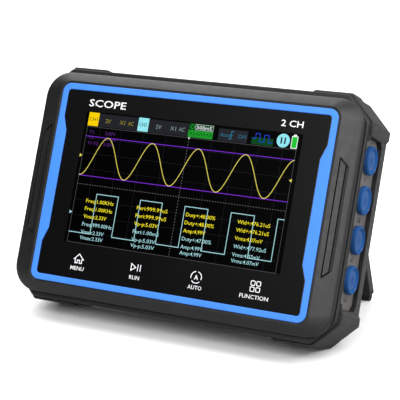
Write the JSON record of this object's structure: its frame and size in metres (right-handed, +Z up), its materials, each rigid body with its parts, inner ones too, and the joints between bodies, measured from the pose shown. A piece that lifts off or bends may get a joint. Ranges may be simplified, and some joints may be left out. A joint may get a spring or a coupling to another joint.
{
  "type": "oscilloscope",
  "caption": "Rugged tablet oscilloscope with a touch screen in a sloped bezel, side meter jacks with dust plugs, recessed coaxial sockets and a folding rear stand.",
  "frame": {"origin": "centre of the footprint on the surface it stands on", "axes": "+X to the viewer's right along the width, the screen faces -Y leaning back, +Z up"},
  "size_m": [0.1476, 0.0888, 0.1003],
  "materials": {
    "black_plastic": "satin moulded",
    "blue_plastic": "satin moulded",
    "cover_glass": "polished, printed black behind",
    "touch_film": "clear",
    "screen_metal": "stamped frame",
    "sheet_steel": "zinc plated",
    "screw_steel": "zinc plated",
    "circuit_board": "solder mask",
    "black_rubber": "matt",
    "bumper_rubber": "fine matt grain",
    "dark_screw": "black oxide",
    "grey_plastic": "matt",
    "jack_plastic": "matt",
    "gold_brass": "gold plated",
    "blue_rubber": "soft satin",
    "ceramic": "glazed ceramic",
    "clip_metal": "tinned",
    "stand_plastic": "satin moulded",
    "nickel": "nickel plated brass",
    "white_plastic": "natural",
    "button_plastic": "satin",
    "chip_epoxy": "moulded epoxy",
    "battery_foil": "laminated foil",
    "foam": "foam",
    "amber_film": "polyimide film"
  },
  "bodies": {
    "body": {"front_bezel": "black_plastic", "trim_ring": "blue_plastic", "cover_glass": "cover_glass", "touch_panel": "touch_film", "screen_module": "screen_metal", "screen_bracket": "sheet_steel", "bracket_screws": "screw_steel", "key_board": "circuit_board", "seam_gasket": "black_rubber", "rear_shell": "black_plastic", "corner_bumpers": "bumper_rubber", "case_screws": "dark_screw", "jack_panel": "grey_plastic", "jack_bodies": "jack_plastic", "jack_contacts": "gold_brass", "meter_board": "circuit_board", "fuses": "ceramic", "fuse_clips": "clip_metal", "hinge_pins": "screw_steel", "coax_shells": "nickel", "coax_insulators": "white_plastic", "coax_contacts": "gold_brass", "coax_nuts": "nickel", "input_board": "circuit_board", "power_switch": "clip_metal", "charge_socket": "clip_metal", "main_board": "circuit_board", "board_posts": "gold_brass", "board_screws": "screw_steel", "shield_cans": "clip_metal", "processor_chips": "chip_epoxy", "relays": "white_plastic", "buzzer": "jack_plastic", "battery": "battery_foil", "battery_pad": "foam", "ribbon_cable": "amber_film", "ribbon_socket": "white_plastic"},
    "stand": {"stand_leg": "stand_plastic", "stand_foot": "black_rubber"},
    "power_button": {"power_button": "button_plastic"},
    "plug_1": {"dust_plug_1": "blue_rubber"},
    "plug_2": {"dust_plug_2": "blue_rubber"},
    "plug_3": {"dust_plug_3": "blue_rubber"},
    "plug_4": {"dust_plug_4": "blue_rubber"}
  },
  "joints": [
    {"name": "stand_hinge", "type": "hinge", "parent": "body", "child": "stand", "pos_m": [0, 0.01263, 0.0711], "axis": [-1, 0, 0], "range_deg": [0, 45]},
    {"name": "power_press", "type": "slide", "parent": "body", "child": "power_button", "axis": [1, 0, 0], "range_m": [0, 0.0005], "stiffness_N_per_m": 400, "springref_m": -0.0005},
    {"name": "plug_1_pull", "type": "slide", "parent": "body", "child": "plug_1", "axis": [1, 0, 0], "range_m": [0, 0.011]},
    {"name": "plug_2_pull", "type": "slide", "parent": "body", "child": "plug_2", "axis": [1, 0, 0], "range_m": [0, 0.011]},
    {"name": "plug_3_pull", "type": "slide", "parent": "body", "child": "plug_3", "axis": [1, 0, 0], "range_m": [0, 0.011]},
    {"name": "plug_4_pull", "type": "slide", "parent": "body", "child": "plug_4", "axis": [1, 0, 0], "range_m": [0, 0.011]}
  ]
}
